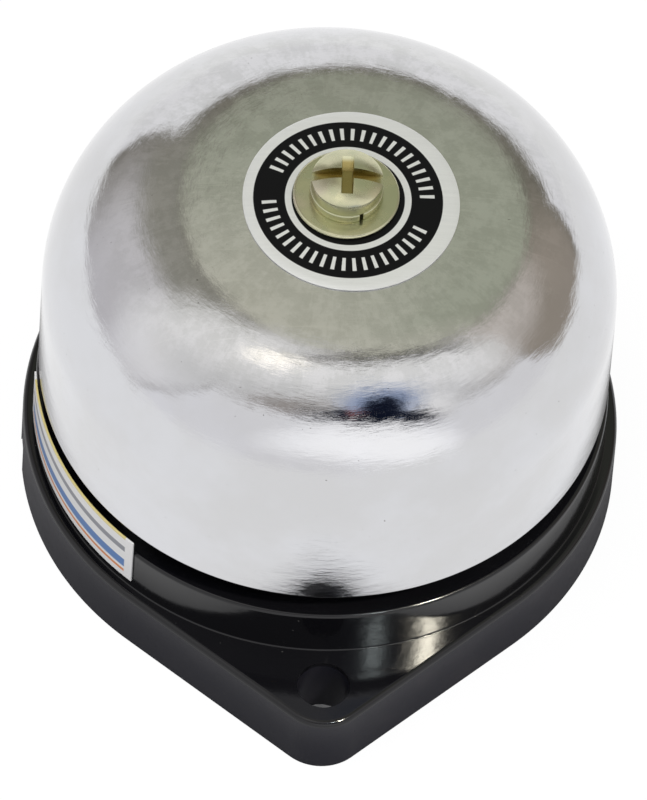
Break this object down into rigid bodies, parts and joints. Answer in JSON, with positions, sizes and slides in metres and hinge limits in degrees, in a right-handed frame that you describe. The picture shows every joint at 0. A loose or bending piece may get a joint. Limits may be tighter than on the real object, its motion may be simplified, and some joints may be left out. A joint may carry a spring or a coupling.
{
  "type": "round electric bell",
  "caption": "Round electric bell: a domed metal gong over a black two-ear wall base, rung from inside by a sprung solenoid plunger.",
  "frame": {"origin": "centre of the base's flat underside", "axes": "+Z out of the base, through the gong's crown; +Y through the mounting ears; +X the way the striker moves to hit the gong"},
  "size_m": [0.0577, 0.0726, 0.0479],
  "materials": {
    "black_moulding": "glossy black thermoset moulding",
    "cover_board": "dark insulating board",
    "zinc_steel": "bright zinc plate",
    "gong_chrome": "polished plated steel",
    "red_fibre": "vulcanised fibre",
    "yellow_zinc": "pale yellow zinc plate",
    "label_foil": "satin foil, black printed ring",
    "label_film": "white film with plain colour bands",
    "yoke_steel": "soft iron, zinc plated",
    "nylon": "natural nylon",
    "tinned_copper": "tinned",
    "copper_wire": "enamelled copper",
    "coil_tape": "polyester tape",
    "brass": "turned and stamped brass",
    "rubber": "matt rubber",
    "spring_steel": "spring steel",
    "lead_insulation": "flexible insulation",
    "diode_case": "black moulded case"
  },
  "bodies": {
    "bell": {"base_moulding": "black_moulding", "bottom_cover": "cover_board", "cover_screws": "zinc_steel", "gong": "gong_chrome", "gong_fibre_washer": "red_fibre", "flat_washer": "yellow_zinc", "lock_washer": "yellow_zinc", "gong_screw": "yellow_zinc", "gong_pillar": "zinc_steel", "ring_label": "label_foil", "side_label": "label_film", "magnet_yoke": "yoke_steel", "yoke_top_plate": "yoke_steel", "yoke_screw_washers": "zinc_steel", "yoke_screws": "zinc_steel", "coil_bobbin": "nylon", "coil_pins": "tinned_copper", "coil_winding": "copper_wire", "coil_tape": "coil_tape", "guide_tube": "brass", "front_bush": "nylon", "return_spring": "spring_steel", "terminal_plate_left": "brass", "terminal_plate_right": "brass", "terminal_clamps": "zinc_steel", "terminal_screws": "brass", "lead_wire_left": "lead_insulation", "lead_wire_right": "lead_insulation", "rectifier_diode": "diode_case"},
    "striker": {"plunger": "yoke_steel", "push_rod": "brass", "striker_tip": "zinc_steel", "rebound_washer": "rubber", "spring_retainer": "zinc_steel", "retaining_clip": "spring_steel"}
  },
  "joints": [
    {"name": "striker_slide", "type": "slide", "parent": "bell", "child": "striker", "axis": [1, 0, 0], "range_m": [0, 0.0025], "stiffness_N_per_m": 150, "springref_m": -0.004, "deforming": ["return_spring"]}
  ]
}
